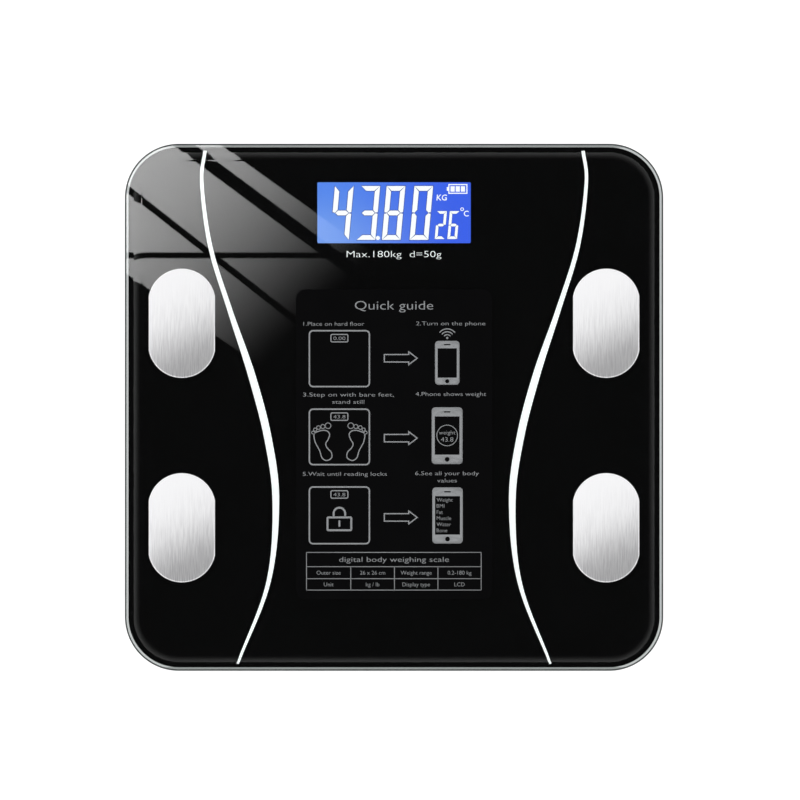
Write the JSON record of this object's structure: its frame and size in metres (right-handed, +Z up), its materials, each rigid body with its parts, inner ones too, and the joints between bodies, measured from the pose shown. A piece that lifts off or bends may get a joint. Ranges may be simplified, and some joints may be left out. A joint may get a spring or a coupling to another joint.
{
  "type": "digital bathroom scale",
  "caption": "Square glass-topped digital body scale with a backlit display, steel touch electrodes, load-cell feet, a unit button and a hinged battery cover.",
  "frame": {"origin": "on the floor under the middle of the glass", "axes": "+X to the reader's right, +Y towards the display end where the toes go, +Z up"},
  "size_m": [0.26, 0.2546, 0.025],
  "materials": {
    "clear_glass": "clear tempered float glass, polished, ground arris",
    "black_ink": "black ceramic ink seen through the glass",
    "white_ink": "white ceramic ink",
    "label_film": "thin black film with grey print, satin",
    "brushed_steel": "stainless steel, brushed from toe to heel",
    "spring_steel": "nickel-plated spring steel",
    "zinc": "zinc-plated",
    "black_abs": "black ABS, fine spark grain",
    "white_abs": "natural white ABS",
    "foot_rubber": "soft grey-black rubber",
    "foam_tape": "double-sided foam tape",
    "lcd_glass": "blue backlit liquid-crystal panel",
    "diffuser": "milky acrylic light guide",
    "elastomer": "striped conductive elastomer",
    "board_green": "glass-epoxy circuit board under green solder mask",
    "black_epoxy": "glossy black epoxy drop",
    "cell_wrap": "shrink-wrapped cell sleeve",
    "red_pvc": "red PVC wire",
    "black_pvc": "black PVC wire",
    "white_pvc": "white PVC cable"
  },
  "bodies": {
    "platform": {"glass_platform": "clear_glass", "glass_back_print": "black_ink", "stripe_left": "white_ink", "stripe_right": "white_ink", "instruction_label": "label_film", "bonding_tape": "foam_tape", "base_tray": "black_abs", "display_holder": "white_abs", "lcd_panel": "lcd_glass", "backlight": "diffuser", "zebra_strip": "elastomer", "main_board": "board_green", "controller_chip": "black_epoxy", "tact_switch": "black_abs", "battery_cell_1": "cell_wrap", "battery_cell_2": "cell_wrap", "contact_bridge": "spring_steel", "contact_negative": "spring_steel", "contact_positive": "spring_steel", "battery_lead_positive": "red_pvc", "battery_lead_negative": "black_pvc", "board_screw_1": "zinc", "board_screw_2": "zinc", "board_screw_3": "zinc", "board_screw_4": "zinc", "electrode_toe_left": "brushed_steel", "electrode_nut_toe_left": "zinc", "electrode_lead_toe_left": "black_pvc", "load_cell_toe_left": "spring_steel", "load_cell_holder_toe_left": "white_abs", "load_cell_cable_toe_left": "white_pvc", "electrode_toe_right": "brushed_steel", "electrode_nut_toe_right": "zinc", "electrode_lead_toe_right": "black_pvc", "load_cell_toe_right": "spring_steel", "load_cell_holder_toe_right": "white_abs", "load_cell_cable_toe_right": "white_pvc", "electrode_heel_left": "brushed_steel", "electrode_nut_heel_left": "zinc", "electrode_lead_heel_left": "black_pvc", "load_cell_heel_left": "spring_steel", "load_cell_holder_heel_left": "white_abs", "load_cell_cable_heel_left": "white_pvc", "electrode_heel_right": "brushed_steel", "electrode_nut_heel_right": "zinc", "electrode_lead_heel_right": "black_pvc", "load_cell_heel_right": "spring_steel", "load_cell_holder_heel_right": "white_abs", "load_cell_cable_heel_right": "white_pvc"},
    "foot_toe_left": {"foot_cup_toe_left": "black_abs", "foot_pad_toe_left": "foot_rubber"},
    "foot_toe_right": {"foot_cup_toe_right": "black_abs", "foot_pad_toe_right": "foot_rubber"},
    "foot_heel_left": {"foot_cup_heel_left": "black_abs", "foot_pad_heel_left": "foot_rubber"},
    "foot_heel_right": {"foot_cup_heel_right": "black_abs", "foot_pad_heel_right": "foot_rubber"},
    "unit_button": {"unit_button": "black_abs", "switch_plunger": "black_abs"},
    "battery_cover": {"battery_cover": "black_abs"}
  },
  "joints": [
    {"name": "foot_press_toe_left", "type": "slide", "parent": "platform", "child": "foot_toe_left", "axis": [0, 0, 1], "range_m": [0, 0.0005]},
    {"name": "foot_press_toe_right", "type": "slide", "parent": "platform", "child": "foot_toe_right", "axis": [0, 0, 1], "range_m": [0, 0.0005]},
    {"name": "foot_press_heel_left", "type": "slide", "parent": "platform", "child": "foot_heel_left", "axis": [0, 0, 1], "range_m": [0, 0.0005]},
    {"name": "foot_press_heel_right", "type": "slide", "parent": "platform", "child": "foot_heel_right", "axis": [0, 0, 1], "range_m": [0, 0.0005]},
    {"name": "unit_button_press", "type": "slide", "parent": "platform", "child": "unit_button", "axis": [0, 0, 1], "range_m": [0, 0.0008], "stiffness_N_per_m": 3000},
    {"name": "battery_cover_hinge", "type": "hinge", "parent": "platform", "child": "battery_cover", "pos_m": [-0.02725, 0.02, 0.0048], "axis": [0, 1, 0], "range_deg": [0, 75]}
  ]
}
